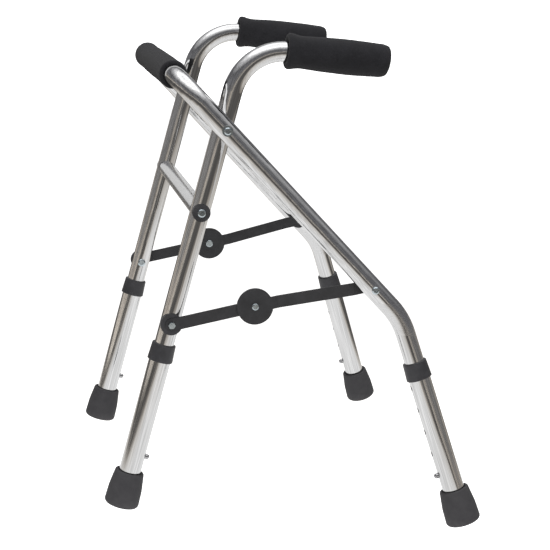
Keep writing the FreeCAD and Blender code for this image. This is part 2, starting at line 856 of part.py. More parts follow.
def pivot_hardware():
    """The bolts, washers, spacers and nuts that the two frames turn on."""
    tube_radius = size("upper_tube_radius")
    nut_face = size("front_half_width") - tube_radius - size("running_gap")
    washer_face = size("rear_half_width") + tube_radius + size("pivot_washer_thickness")
    derive("pivot_shank_length", washer_face - nut_face + size("nut_height") + size("thread_end"))
    bolts, washers, spacers, nuts = [], [], [], []
    for side_name, side in SIDES:
        outwards = ACROSS * side
        bolt = screw(
            f"pivot_bolt_{side_name}", "pivot_head_radius", "pivot_bolt_radius", "pivot_shank_length"
        )
        bolts.append(placed(bolt, sideways(PIVOT + outwards * washer_face, side)))
        washers.append(
            saddle(
                f"pivot_washer_{side_name}",
                "pivot_washer_radius",
                "pivot_washer_thickness",
                PIVOT + outwards * washer_face,
                -outwards,
                splayed(PIVOT, side),
                run_up(side),
                "pivot_bolt_radius",
            )
        )
        ring = new_body(f"pivot_spacer_{side_name}")
        section = new_sketch(ring, "section", "XY_Plane")
        add_circle(section, "0", "0", "pivot_washer_radius")
        add_circle(section, "0", "0", "pivot_bolt_radius + bolt_running_clearance")
        pad(ring, "spacer", section, "pivot_spacer_thickness")
        start = size("front_half_width") + tube_radius + size("fitting_gap")
        spacers.append(placed(ring, sideways(PIVOT + outwards * start, side)))
        nut = lock_nut(f"pivot_nut_{side_name}", "pivot_nut_radius", "pivot_bolt_radius")
        nuts.append(placed(nut, sideways(PIVOT + outwards * nut_face, -side)))
    group("pivot_bolts", bolts)
    group("pivot_washers", washers)
    group("pivot_spacers", spacers)
    group("pivot_nuts", nuts)


def crossbar_hardware():
    """The plugs, saddles and bolts that hold the crossbar to the front tubes."""
    inner = size("front_half_width") - size("upper_tube_radius") - size("saddle_thickness")
    outer = size("front_half_width") + size("upper_tube_radius") + size("saddle_thickness")
    derive("crossbar_shank_length", outer - inner + size("crossbar_thread_length"))
    plugs, saddles, bolts = [], [], []
    for side_name, side in SIDES:
        outwards = ACROSS * side
        plugs.append(crossbar_plug(side_name, side))
        for place, reach, inwards in (("inner", inner, outwards), ("outer", outer, -outwards)):
            saddles.append(
                saddle(
                    f"crossbar_saddle_{place}_{side_name}",
                    f"{place}_saddle_radius",
                    "saddle_thickness",
                    CROSSBAR_MIDDLE + outwards * reach,
                    inwards,
                    on_front_tube(size("crossbar_station"), side),
                    FRONT_UP,
                    "crossbar_bolt_radius",
                )
            )
        bolt = screw(
            f"crossbar_bolt_{side_name}",
            "crossbar_head_radius",
            "crossbar_bolt_radius",
            "crossbar_shank_length",
        )
        bolts.append(placed(bolt, sideways(CROSSBAR_MIDDLE + outwards * outer, side)))
    group("crossbar_plugs", plugs)
    group("crossbar_saddles", saddles)
    group("crossbar_bolts", bolts)


# ---------------------------------------------------------------- the folding stays


def stay_faces():
    """How far out each flat face of a stay lies from the middle of the frame."""
    gap, thickness = size("running_gap"), size("arm_thickness")
    on_tube = size("upper_tube_radius") + size("saddle_thickness")
    rear_tube_middle = splayed(STAY_REAR, 1).y
    faces = {"front_saddle": size("front_half_width") + on_tube}
    faces["front_arm"] = faces["front_saddle"] + gap
    faces["front_nut"] = faces["front_arm"] + thickness + gap
    faces["front_head"] = size("front_half_width") - size("upper_tube_radius") - size("fitting_gap")
    faces["rear_disc"] = faces["front_arm"] + thickness + size("disc_gap")
    faces["rear_saddle"] = rear_tube_middle - on_tube
    faces["rear_arm"] = faces["rear_saddle"] - gap - thickness
    faces["rear_nut"] = faces["rear_arm"] - gap
    faces["rear_head"] = rear_tube_middle + size("upper_tube_radius") + size("head_seat_gap")
    return faces


def arm_ends(body, across, offset):
    """A round end at the bolt and a disc at the middle of the stay, as pads of the arm's thickness."""
    for name, centre, radius, plane in (
        ("bolt_end", "0", "arm_half_width", "0"),
        ("disc", across, "disc_radius", offset),
    ):
        sketch = new_sketch(body, f"{name}_outline", "XY_Plane", plane)
        add_circle(sketch, centre, "0", radius)
        pad(body, name, sketch, "arm_thickness")


def arm_holes(body, across):
    """The running hole at the bolt and the close hole at the disc's rivet."""
    for name, centre, clearance in (
        ("bolt_hole", "0", "bolt_running_clearance"),
        ("rivet_hole", across, "fitting_gap"),
    ):
        sketch = new_sketch(body, f"{name}_outline", "XY_Plane")
        add_circle(sketch, centre, "0", f"stay_bolt_radius + {clearance}")
        pocket_through(body, name, sketch)


def front_arm(side_name, side, faces):
    """The stay's flat front arm: local X runs from its bolt to the disc."""
    body = new_body(f"stay_front_arm_{side_name}")
    length, half = "front_arm_length", "arm_half_width"
    strip = new_sketch(body, "strip_outline", "XY_Plane")
    add_outline(strip, (("0", f"-{half}"), (length, f"-{half}"), (length, half), ("0", half)))
    pad(body, "strip", strip, "arm_thickness")
    arm_ends(body, length, "0")
    arm_holes(body, length)
    base = STAY_FRONT + ACROSS * (side * faces["front_arm"])
    return keep(body, standing(base, ACROSS * side, STAY_ALONG))


def rear_arm(side_name, side, faces):
    """The stay's rear arm, stepped inwards between its bolt and the disc."""
    body = new_body(f"stay_rear_arm_{side_name}")
    length, step, top = "rear_arm_length", "-rear_arm_step", "arm_thickness - rear_arm_step"
    bend = "rear_arm_length - arm_step_start"
    strip = new_sketch(body, "strip_outline", "XZ_Plane")
    add_outline(
        strip,
        (
            ("0", "0"),
            ("arm_step_end", "0"),
            (bend, step),
            (length, step),
            (length, top),
            (bend, top),
            ("arm_step_end", "arm_thickness"),
            ("0", "arm_thickness"),
        ),
    )
    pad(body, "strip", strip, "2 * arm_half_width", midplane=True)
    arm_ends(body, length, step)
    arm_holes(body, length)
    base = STAY_REAR + ACROSS * (side * faces["rear_arm"])
    return keep(body, standing(base, ACROSS * side, -STAY_ALONG))


def stay_bolt(end, side_name, side, faces):
    """A stay's bolt and nut at one end: the front bolt's head is on the inside, the rear's outside."""
    point = STAY_FRONT if end == "front" else STAY_REAR
    head_side = -side if end == "front" else side
    head_place = point + ACROSS * (side * faces[f"{end}_head"])
    nut_place = point + ACROSS * (side * faces[f"{end}_nut"])
    name = f"stay_{end}_bolt_{side_name}"
    bolt = screw(name, f"{end}_head_radius", "stay_bolt_radius", f"{end}_shank_length")
    nut = lock_nut(f"stay_{end}_nut_{side_name}", "stay_nut_radius", "stay_bolt_radius")
    return placed(bolt, sideways(head_place, head_side)), placed(nut, sideways(nut_place, -head_side))


def stay_saddle(end, side_name, side, faces):
    """The pad that seats a stay's arm on its tube: outside the front tube, inside the rear one."""
    outwards = ACROSS * side
    if end == "front":
        point, inwards = STAY_FRONT, -outwards
        tube_point, tube_along = on_front_tube(size("stay_front_station"), side), FRONT_UP
    else:
        point, inwards = STAY_REAR, outwards
        tube_point, tube_along = splayed(STAY_REAR, side), run_up(side)
    return saddle(
        f"stay_{end}_saddle_{side_name}",
        f"{end}_saddle_radius",
        "saddle_thickness",
        point + outwards * faces[f"{end}_saddle"],
        inwards,
        tube_point,
        tube_along,
        "stay_bolt_radius",
    )


def stay_fasteners(faces):
    """The bolts, nuts and saddles at both ends of each stay."""
    nut = size("nut_height") + size("thread_end")
    derive("front_shank_length", faces["front_nut"] + nut - faces["front_head"])
    derive("rear_shank_length", faces["rear_head"] + nut - faces["rear_nut"])
    for end in ("front", "rear"):
        bolts, nuts, saddles = [], [], []
        for side_name, side in SIDES:
            bolt, lock = stay_bolt(end, side_name, side, faces)
            bolts.append(bolt)
            nuts.append(lock)
            saddles.append(stay_saddle(end, side_name, side, faces))
        group(f"stay_{end}_bolts", bolts)
        group(f"stay_{end}_nuts", nuts)
        group(f"stay_{end}_saddles", saddles)


def stay_rivets(side_name, side, faces):
    """The disc rivet: its domed half in the rear arm and its flat half in the front arm."""
    outwards = ACROSS * side
    middle = STAY_FRONT + STAY_ALONG * size("front_arm_length")
    dome = rivet(f"stay_rivet_{side_name}", "stay_nut_radius", "rivet_head_height")
    keep(dome, sideways(middle + outwards * (faces["rear_disc"] + size("arm_thickness")), side))
    back = rivet(f"stay_rivet_back_{side_name}", "rivet_back_radius", "rivet_back_height")
    keep(back, sideways(middle + outwards * faces["front_arm"], -side))


# ---------------------------------------------------------------- the whole frame


CROSSBAR_MIDDLE = FRONT_SOLE + FRONT_UP * size("crossbar_station")
STAY_FRONT = FRONT_SOLE + FRONT_UP * size("stay_front_station")
STAY_ALONG = (STAY_REAR - STAY_FRONT).normalize()

for side_name, side in SIDES:
    front_tube(side_name, side)
    handle_grip(side_name, side)
crossbar()
crossbar_hardware()
rear_tube()
bar_grip()
pivot_hardware()

stay_levels = stay_faces()
derive("rear_arm_length", (STAY_REAR - STAY_FRONT).Length - size("front_arm_length"))
derive("rear_arm_step", stay_levels["rear_arm"] - stay_levels["rear_disc"])
for side_name, side in SIDES:
    front_arm(side_name, side, stay_levels)
    rear_arm(side_name, side, stay_levels)
    stay_rivets(side_name, side, stay_levels)
stay_fasteners(stay_levels)

for leg_name, leg_frame in leg_frames():
    for make in (lower_leg, collar, ferrule, ferrule_washer, snap_button, snap_spring):
        make(leg_name, leg_frame)

document.recompute()

failed = [thing.Label for thing in document.Objects if {"Invalid", "Error"} & set(thing.State)]
failed += [part.Label for part in sub_parts if part.Shape.isNull() or not part.Shape.isValid()]
if failed:
    raise RuntimeError(f"These objects failed: {', '.join(failed)}")

os.makedirs(PARTS_FOLDER, exist_ok=True)
for part in sub_parts:
    part.Shape.exportStep(os.path.join(PARTS_FOLDER, f"{part.Label}.step"))
print(f"{len(sub_parts)} sub-parts written")
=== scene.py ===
import itertools
import json
import math

import bmesh
import bpy
import numpy as np
from mathutils import Matrix, Vector, noise


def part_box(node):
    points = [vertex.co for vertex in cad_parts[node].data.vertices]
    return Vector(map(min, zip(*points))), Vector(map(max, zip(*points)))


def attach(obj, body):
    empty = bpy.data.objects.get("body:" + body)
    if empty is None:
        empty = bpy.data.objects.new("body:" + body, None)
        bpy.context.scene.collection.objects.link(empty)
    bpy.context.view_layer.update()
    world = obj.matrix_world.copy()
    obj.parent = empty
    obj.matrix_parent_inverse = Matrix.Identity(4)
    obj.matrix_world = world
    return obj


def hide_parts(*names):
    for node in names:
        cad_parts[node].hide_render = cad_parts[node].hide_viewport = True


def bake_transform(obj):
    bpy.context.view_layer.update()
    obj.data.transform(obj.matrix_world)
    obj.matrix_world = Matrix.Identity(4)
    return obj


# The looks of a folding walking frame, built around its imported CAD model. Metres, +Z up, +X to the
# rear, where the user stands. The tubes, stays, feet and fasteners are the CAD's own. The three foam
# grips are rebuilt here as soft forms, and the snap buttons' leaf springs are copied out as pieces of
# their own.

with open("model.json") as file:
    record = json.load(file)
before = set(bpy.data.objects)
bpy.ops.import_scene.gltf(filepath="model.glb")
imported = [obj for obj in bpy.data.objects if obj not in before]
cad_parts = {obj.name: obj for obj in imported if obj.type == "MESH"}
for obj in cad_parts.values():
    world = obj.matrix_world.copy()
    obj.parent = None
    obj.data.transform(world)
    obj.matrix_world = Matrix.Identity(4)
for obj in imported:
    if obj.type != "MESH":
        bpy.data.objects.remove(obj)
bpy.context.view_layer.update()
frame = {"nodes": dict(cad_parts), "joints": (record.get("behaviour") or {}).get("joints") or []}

SIDES = ("left", "right")
ENDS = ("front", "rear")
UP = Vector((0.0, 0.0, 1.0))
MILLIMETRE = 0.001
LINE_STRETCH = 60  # how many times longer than wide the lines along a tube are

# the foam grips
GRIP_BORE = 12.75 * MILLIMETRE
GRIP_END_WALL = 6.0 * MILLIMETRE
TURNS = 96
HANDLE_RINGS = 150
BAR_RINGS = 220
SMALLEST_RADIUS = 0.001 * MILLIMETRE
WAVE_SEEDS = {"left": 3.0, "right": 4.0, "bar": 7.0}
WAVE_START = 1.08  # bore radii from the axis, where the skin starts to wave
WAVE_FADE = 0.2  # bore radii from there to the full wave
SLANT_SHARE = 0.2  # the share of a handle's length that leans

# where the tubes are bent, from the pivots or the stays' rear bolts
HANDLE_BEND = (0.035, 0.070)
BAR_BEND = (-0.030, -0.055)
KINK_DROP = 0.037
KINK_REACH = 0.02
RUBBED_AND_SHADED_EDGE = (-0.006, -0.004)  # from a leg tube's top, where the tube inside it starts to be rubbed dull and painted darker as shade for the holes

# the studio
PAPER_SIZE = 90.0
PAPER_DROP = 0.22
REFLECTED_FLOOR_SIZE = 14.0

# the camera, at the photograph's viewing angle
CAMERA_PLACE = Vector((-0.402, -2.175, 0.730))
CAMERA_YAW = math.radians(10.73)
CAMERA_PITCH = math.radians(11.75)
CAMERA_ROLL = math.radians(2.61)
LENS_TO_SENSOR = 2.909
SENSOR = 36.0


# ---------------------------------------------------------------- node helpers


def new_material(name, **sockets):
    """A material, its node tree and its shader, with plain values on the shader's own sockets."""
    material = bpy.data.materials.new(name)
    material.use_nodes = True
    shader = material.node_tree.nodes["Principled BSDF"]
    for socket, value in sockets.items():
        shader.inputs[socket.replace("_", " ")].default_value = value
    return material, material.node_tree, shader


def add(tree, kind, inputs=(), **settings):
    """Add a node. Its inputs are numbers, colours or other nodes' outputs, by name or place."""
    node = tree.nodes.new(f"ShaderNode{kind}")
    for name, value in settings.items():
        setattr(node, name, value)
    for key, value in dict(inputs).items():
        if isinstance(value, bpy.types.NodeSocket):
            tree.links.new(value, node.inputs[key])
        else:
            node.inputs[key].default_value = value
    return node


def place(tree):
    """The point on the surface, in the part's frame."""
    return add(tree, "TexCoord").outputs["Object"]


def spread(tree, value, low, high, start=0.0, end=1.0):
    """Carry a value from one range to another."""
    ranges = {"Value": value, "From Min": start, "From Max": end, "To Min": low, "To Max": high}
    return add(tree, "MapRange", ranges).outputs["Result"]


def math_of(tree, operation, *values):
    """The result of a Math node; each value may be a number or another node's output."""
    return add(tree, "Math", dict(enumerate(values)), operation=operation).outputs[0]


def split(tree, vector):
    """The X, Y and Z of a vector."""
    return add(tree, "SeparateXYZ", {"Vector": vector}).outputs


def connect(tree, shader, **values):
    """Feed the shader's sockets from other nodes' outputs."""
    for name, value in values.items():
        tree.links.new(value, shader.inputs[name.replace("_", " ")])


def cloud(tree, vector, scale, detail=2.0, roughness=0.5):
    """Soft noise of 0 to 1."""
    inputs = {"Vector": vector, "Scale": scale, "Detail": detail, "Roughness": roughness}
    return add(tree, "TexNoise", inputs).outputs["Fac"]


def tint(tree, factor, first, second):
    """A colour between two, by a factor."""
    ends = {0: factor, 6: (*first, 1.0), 7: (*second, 1.0)}
    return add(tree, "Mix", ends, data_type="RGBA").outputs[2]


def greys(tree, factor, low, high):
    """A grey between two, by a factor; each end may be a number or another node's output."""
    level = add(tree, "Mix", {0: factor, 2: low, 3: high}).outputs[0]
    return add(tree, "CombineXYZ", {0: level, 1: level, 2: level}).outputs[0]


def colour_ramp(tree, factor, *stops):
    """A colour from (position, colour) stops."""
    ramp = add(tree, "ValToRGB", {"Fac": factor})
    elements = ramp.color_ramp.elements
    elements.remove(elements[1])
    elements[0].color = (*stops[0][1], 1.0)
    for position, colour in stops[1:]:
        elements.new(position).color = (*colour, 1.0)
    return ramp.outputs["Color"]


def relief(tree, shader, height, distance, strength=1.0):
    """Bump from a height of 0 to 1, this many metres deep."""
    bump = add(tree, "Bump", {"Height": height, "Distance": distance, "Strength": strength})
    tree.links.new(bump.outputs["Normal"], shader.inputs["Normal"])


# ---------------------------------------------------------------- metals


def grain(tree, vector, direction):
    """Coordinates whose noise is drawn out along a direction."""
    turn = direction.rotation_difference(UP).to_euler()
    turned = add(tree, "Mapping", {"Vector": vector, "Rotation": turn})
    drawn = add(tree, "Mapping", {"Vector": turned.outputs[0], "Scale": (1.0, 1.0, 1.0 / LINE_STRETCH)})
    return drawn.outputs[0]


def mirrored(tree, vector):
    """The same coordinates with Y folded over, so that both sides of the frame are alike."""
    parts = split(tree, vector)
    joined = {"X": parts["X"], "Y": math_of(tree, "ABSOLUTE", parts["Y"]), "Z": parts["Z"]}
    return add(tree, "CombineXYZ", joined).outputs[0]


def blended_grain(tree, directions, seam):
    """Noise coordinates along one direction, or along two with a seam on an axis between them."""
    vector = mirrored(tree, place(tree))
    first = grain(tree, vector, directions[0])
    if seam is None:
        return first
    axis, start, end = seam
    second = grain(tree, vector, directions[1])
    share = spread(tree, split(tree, vector)[axis], 0.0, 1.0, start, end)
    return add(tree, "Mix", {0: share, 4: first, 5: second}, data_type="VECTOR").outputs[1]


def above(tree, axis, first, last, low=0.0, high=1.0):
    """A value that goes from low to high between two places along an axis of the part's frame."""
    return spread(tree, split(tree, place(tree))[axis], low, high, first, last)


def drawn_aluminium(
    name, directions, seam=None, rough=(0.03, 0.085), tones=(0.56, 0.90), rippled=None, rubbed_and_shaded=None
):
    """Polished and anodised tube, with the faint lines of its drawing along it and soft smears.

    Where rippled names an axis and a range, the tube was bent there, and its skin is slightly wavy.
    Below the range that the last argument names, it runs inside a lower tube and is rubbed dull, and
    its
    colour is painted darker there: painted shade for where it shows through the lower tube's holes.
    """
    material, tree, shader = new_material(name, Metallic=1.0)
    lines = blended_grain(tree, directions, seam)
    fine = cloud(tree, lines, 900.0, detail=3.0)
    broad = cloud(tree, lines, 330.0, detail=4.0, roughness=0.7)
    smears = cloud(tree, place(tree), 14.0, detail=4.0, roughness=0.6)
    low, high = tones
    streaks = math_of(tree, "ADD", fine, broad)
    roughness = spread(tree, math_of(tree, "MULTIPLY", fine, smears), *rough, 0.12, 0.4)
    # inside the lower tube: rougher from rubbing, and a darker colour that is painted shade for the
    # holes it shows through
    if rubbed_and_shaded:
        roughness = math_of(tree, "ADD", roughness, above(tree, *rubbed_and_shaded, low=0.2, high=0.0))
        low = above(tree, *rubbed_and_shaded, low=0.34, high=low)
        high = above(tree, *rubbed_and_shaded, low=0.46, high=high)
    shade = spread(tree, streaks, 0.0, 1.0, 0.7, 1.3)
    connect(tree, shader, Roughness=roughness, Base_Color=greys(tree, shade, low, high))
    height = streaks
    if rippled:
        bent = above(tree, *rippled, high=7.0)
        waves = cloud(tree, place(tree), 95.0)
        height = math_of(tree, "ADD", streaks, math_of(tree, "MULTIPLY", bent, waves))
    relief(tree, shader, height, 0.05 * MILLIMETRE, 0.9)
    return material


def satin_aluminium(name, direction):
    """Satin anodised tube: a pale, soft shine with fine lines along it."""
    material, tree, shader = new_material(name, Metallic=0.8)
    lines = grain(tree, place(tree), direction)
    fine = cloud(tree, lines, 1200.0, detail=3.0)
    patches = cloud(tree, place(tree), 60.0, detail=4.0)
    shade = spread(tree, math_of(tree, "ADD", fine, patches), 0.0, 1.0, 0.7, 1.3)
    roughness = spread(tree, patches, 0.14, 0.22, 0.3, 0.7)
    connect(tree, shader, Roughness=roughness, Base_Color=greys(tree, shade, 0.78, 0.92))
    relief(tree, shader, fine, 0.01 * MILLIMETRE, 0.6)
    return material


def plated_steel(name, colour, rough):
    """Zinc-plated or polished small steel: a mottled shine with fine marks."""
    material, tree, shader = new_material(name, Metallic=1.0)
    mottle = cloud(tree, place(tree), 420.0, detail=3.0)
    darker = tuple(0.8 * part for part in colour)
    shade = spread(tree, mottle, 0.0, 1.0, 0.35, 0.65)
    roughness = spread(tree, mottle, *rough, 0.3, 0.7)
    connect(tree, shader, Roughness=roughness, Base_Color=tint(tree, shade, darker, colour))
    relief(tree, shader, cloud(tree, place(tree), 1800.0), 0.01 * MILLIMETRE, 0.5)
    return material


# ---------------------------------------------------------------- plastics, rubber and foam


def moulded(name, dark, light, rough, pebble=2600.0, depth=0.02):
    """Moulded plastic: slightly uneven shade, a fine pebbled skin."""
    material, tree, shader = new_material(name, Specular_IOR_Level=0.4)
    patches = cloud(tree, place(tree), 60.0, detail=5.0, roughness=0.65)
    shade = spread(tree, patches, 0.0, 1.0, 0.3, 0.7)
    roughness = spread(tree, patches, *rough, 0.3, 0.7)
    connect(tree, shader, Roughness=roughness, Base_Color=tint(tree, shade, dark, light))
    relief(tree, shader, cloud(tree, place(tree), pebble, detail=1.0), depth * MILLIMETRE, 0.5)
    return material


def dusty_rubber(name):
    """Moulded rubber that picks up dust and scuffs near the floor."""
    material, tree, shader = new_material(name, Specular_IOR_Level=0.3)
    point = place(tree)
    patches = cloud(tree, point, 90.0, detail=6.0, roughness=0.7)
    low_down = spread(tree, split(tree, point)["Z"], 1.0, 0.0, 0.0, 0.016)
    dust = math_of(tree, "MULTIPLY", low_down, patches)
    scuffs = spread(tree, patches, 0.0, 0.35, 0.35, 0.75)
    share = math_of(tree, "ADD", dust, scuffs)
    colour = tint(tree, share, (0.036, 0.035, 0.038), (0.085, 0.083, 0.085))
    roughness = spread(tree, patches, 0.55, 0.78, 0.3, 0.7)
    connect(tree, shader, Roughness=roughness, Base_Color=colour)
    relief(tree, shader, cloud(tree, point, 1500.0), 0.05 * MILLIMETRE, 0.6)
    return material


def cell_foam(name):
    """Closed-cell foam: matt black, with the tiny open cells of its cut skin."""
    material, tree, shader = new_material(
        name, Specular_IOR_Level=0.12, Sheen_Weight=0.05, Sheen_Roughness=0.6
    )
    point = place(tree)
    cells = add(tree, "TexVoronoi", {"Vector": point, "Scale": 1500.0, "Randomness": 1.0})
    patches = cloud(tree, point, 45.0, detail=5.0, roughness=0.6)
    pores = spread(tree, cells.outputs["Distance"], 0.0, 1.0, 0.1, 0.7)
    shade = spread(tree, math_of(tree, "MULTIPLY", patches, pores), 0.0, 1.0, 0.1, 0.6)
    colour = tint(tree, shade, (0.0105, 0.0105, 0.0118), (0.024, 0.024, 0.0272))
    roughness = spread(tree, patches, 0.82, 0.97, 0.3, 0.7)
    connect(tree, shader, Roughness=roughness, Base_Color=colour)
    soft = cloud(tree, point, 260.0, detail=4.0, roughness=0.6)
    relief(tree, shader, math_of(tree, "ADD", pores, soft), 0.12 * MILLIMETRE, 0.7)
    return material


# ---------------------------------------------------------------- which node gets what


def joint(name):
    return next(found for found in frame["joints"] if found["name"] == name)


def joint_place(name):
    return Vector(joint(name)["pos_m"])


def joint_axis(name):
    return Vector(joint(name)["axis"])


def run_direction():
    """The rear tube's slope between its kink and the pivot, on the right side."""
    run = joint_place("fold") - joint_place("rear_arm_swing_right")
    return Vector((run.x, 0.0, run.z)).normalized()


def paint(material, *nodes):
    for node in nodes:
        piece = frame["nodes"][node]
        piece.data.materials.clear()
        piece.data.materials.append(material)


def paint_tubes():
    legs = {end: joint_axis(f"leg_slide_{end}_right") for end in ENDS}
    pivot = joint_place("fold")
    handle = Vector((1.0, 0.0, 0.0))
    bend = ("X", *(pivot.x + reach for reach in HANDLE_BEND))
    bar_bend = ("X", *(pivot.x + reach for reach in BAR_BEND))
    kink_height = joint_place("rear_arm_swing_right").z - KINK_DROP
    kink = ("Z", kink_height - KINK_REACH, kink_height + KINK_REACH)
    sleeves = {end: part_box(f"leg_tube_{end}_right")[1].z for end in ENDS}
    # where each upper tube runs inside its leg tube: rubbed dull, and painted darker as shade for the
    # holes
    rubbed_and_shaded = {end: ("Z", *(sleeves[end] + reach for reach in RUBBED_AND_SHADED_EDGE)) for end in ENDS}
    upper = drawn_aluminium(
        "front_tube_aluminium", (legs["front"], handle), bend, rippled=bend, rubbed_and_shaded=rubbed_and_shaded["front"]
    )
    paint(upper, *(f"front_tube_{side}" for side in SIDES))
    outer = drawn_aluminium(
        "rear_tube_aluminium",
        (legs["rear"], run_direction()),
        kink,
        rippled=bar_bend,
        rubbed_and_shaded=rubbed_and_shaded["rear"],
    )
    paint(outer, "rear_tube")
    for end in ENDS:
        lower = drawn_aluminium(f"{end}_leg_aluminium", (legs[end],), rough=(0.05, 0.13))
        paint(lower, *(f"leg_tube_{end}_{side}" for side in SIDES))
    paint(satin_aluminium("crossbar_aluminium", Vector((0.0, 1.0, 0.0))), "crossbar")


def paint_small_parts():
    zinc = plated_steel("zinc_plate", (0.66, 0.74, 0.78), (0.12, 0.3))
    polished = plated_steel("button_chrome", (0.50, 0.50, 0.51), (0.04, 0.12))
    plastic = moulded("black_plastic", (0.025, 0.025, 0.0275), (0.041, 0.041, 0.045), (0.34, 0.48))
    strip = moulded(
        "black_strip",
        (0.02, 0.02, 0.0215),
        (0.032, 0.032, 0.0345),
        (0.42, 0.58),
        pebble=1800.0,
        depth=0.03,
    )
    rubber = dusty_rubber("ferrule_rubber")
    finishes = (
        ("snap_button", polished),
        ("ferrule_washer", zinc),
        ("ferrule_", rubber),
        ("leg_collar", plastic),
        ("crossbar_plugs", plastic),
        ("crossbar_saddles", plastic),
        ("stay_front_saddles", plastic),
        ("stay_rear_saddles", plastic),
        ("pivot_spacers", plastic),
        ("stay_front_arm", strip),
        ("stay_rear_arm", strip),
        ("stay_", zinc),
        ("pivot_", zinc),
        ("crossbar_bolts", zinc),
    )
    for node in frame["nodes"]:
        finish = next((material for start, material in finishes if node.startswith(start)), None)
        if finish:
            paint(finish, node)


def make_leaf_springs():
    """The snap buttons' leaf springs, each copied out of its CAD part into a steel piece of its own."""
    steel = plated_steel("spring_steel", (0.34, 0.35, 0.38), (0.25, 0.4))
    for end, side in itertools.product(ENDS, SIDES):
        name = f"{end}_{side}"
        data = frame["nodes"][f"snap_spring_{name}"].data.copy()
        data.materials.clear()
        data.materials.append(steel)
        piece = bpy.data.objects.new(f"leaf_spring_{name}", data)
        bpy.context.scene.collection.objects.link(piece)
        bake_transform(piece)
        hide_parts(f"snap_spring_{name}")


# ---------------------------------------------------------------- the foam grips


def long_axis(node):
    """A node's long axis, as its two end points."""
    points = np.array([vertex.co for vertex in frame["nodes"][node].data.vertices], float)
    low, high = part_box(node)
    centre = np.array((low + high) / 2)
    direction = np.linalg.svd(points - points.mean(0), full_matrices=False)[2][0]
    if direction[np.argmax(np.abs(direction))] < 0:
        direction = -direction
    along = (points - centre) @ direction
    return Vector(centre + direction * along.min()), Vector(centre + direction * along.max())


def smooth_curve(stops, count):
    """Points along a smooth curve through (distance, radius) stops, evenly spaced along it."""
    stops = np.array(stops, float)
    steps = np.r_[0, np.cumsum(np.linalg.norm(np.diff(stops, axis=0), axis=1))]
    slopes = np.gradient(stops, steps, axis=0)
    wanted = np.linspace(0, steps[-1], count)
    span = np.clip(np.searchsorted(steps, wanted, side="right") - 1, 0, len(steps) - 2)
    width = (steps[span + 1] - steps[span])[:, None]
    share = ((wanted - steps[span]) / width[:, 0])[:, None]
    rise = share**2 * (3 - 2 * share)
    leave = share * (1 - share) ** 2 * width * slopes[span]
    arrive = share**2 * (share - 1) * width * slopes[span + 1]
    return (1 - rise) * stops[span] + rise * stops[span + 1] + leave + arrive


def lathe(name, outline, closed, start, direction):
    """A surface turned about an axis from (distance, radius) points; closed outlines make a ring."""
    across = direction.cross(UP).normalized()
    rise = across.cross(direction).normalized()
    angles = [2 * math.pi * step / TURNS for step in range(TURNS)]
    spokes = [across * math.cos(angle) + rise * math.sin(angle) for angle in angles]
    mesh = bmesh.new()
    rings = []
    for distance, radius in outline:
        centre = start + direction * distance
        if radius < SMALLEST_RADIUS:
            rings.append([mesh.verts.new(centre)])
        else:
            rings.append([mesh.verts.new(centre + spoke * radius) for spoke in spokes])
    pairs = list(zip(rings, rings[1:])) + ([(rings[-1], rings[0])] if closed else [])
    for first, second in pairs:
        for step in range(TURNS):
            after = (step + 1) % TURNS
            corners = [
                first[step % len(first)],
                first[after % len(first)],
                second[after % len(second)],
                second[step % len(second)],
            ]
            mesh.faces.new(list(dict.fromkeys(corners)))
    bmesh.ops.recalc_face_normals(mesh, faces=mesh.faces)
    data = bpy.data.meshes.new(name)
    mesh.to_mesh(data)
    mesh.free()
    data.shade_smooth()
    piece = bpy.data.objects.new(name, data)
    bpy.context.scene.collection.objects.link(piece)
    return piece


def unevenness(point, seed):
    """A soft wave of -1 to 1, as foam has where it was cut and pulled over the tube."""
    slow = noise.noise(point * 28.0 + Vector((seed, 0.0, 0.0)))
    quick = noise.noise(point * 110.0 + Vector((0.0, seed, 0.0)))
    return slow + 0.3 * quick


def soften(piece, start, direction, seed, depth):
    """Push the outside of a grip in and out a little, and leave its bore round."""
    for vertex in piece.data.vertices:
        centre = start + direction * (vertex.co - start).dot(direction)
        out = vertex.co - centre
        share = max(0.0, min(1.0, (out.length / GRIP_BORE - WAVE_START) / WAVE_FADE))
        if out.length > SMALLEST_RADIUS:
            vertex.co += out.normalized() * (depth * share * unevenness(vertex.co, seed))


def dress_grip(piece, node, body, foam):
    """Put a foam form in a CAD grip's place, on the body that carries it."""
    piece.data.materials.append(foam)
    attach(piece, body)
    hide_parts(node)


def handle_outline(length, widest):
    """The foam handle's outline: a soft lip, a shallow neck, a swell and a rounded, closed end."""
    bore, floor = GRIP_BORE, length - GRIP_END_WALL
    skin = smooth_curve(
        (
            (0.0022, bore),
            (0.0008, bore + 0.0016),
            (0.0000, bore + 0.0045),
            (0.0006, widest - 0.0017),
            (0.0030, widest - 0.0001),
            (0.0070, widest - 0.0002),
            (0.0120, widest - 0.0013),
            (0.0190, widest - 0.0021),
            (0.0290, widest - 0.0018),
            (0.0480, widest - 0.0009),
            (0.0720, widest - 0.0004),
            (0.0950, widest - 0.0006),
            (length - 0.0180, widest - 0.0013),
            (length - 0.0075, widest - 0.0020),
            (length - 0.0024, widest - 0.0040),
            (length - 0.0005, widest - 0.0075),
            (length, widest * 0.45),
            (length, 0.0),
        ),
        HANDLE_RINGS,
    )
    return [(floor, 0.0), (floor, bore * 0.5), (floor, bore), *skin]


def slant_end(piece, start, direction, length, widest, lean):
    """Lean the grip's far end, so that its top stands further out than its underside."""
    for vertex in piece.data.vertices:
        along = (vertex.co - start).dot(direction)
        late = max(0.0, 1.0 - (length - along) / (length * SLANT_SHARE))
        lift = (vertex.co - start - direction * along).z / widest
        vertex.co += direction * (lean * late * late * lift)


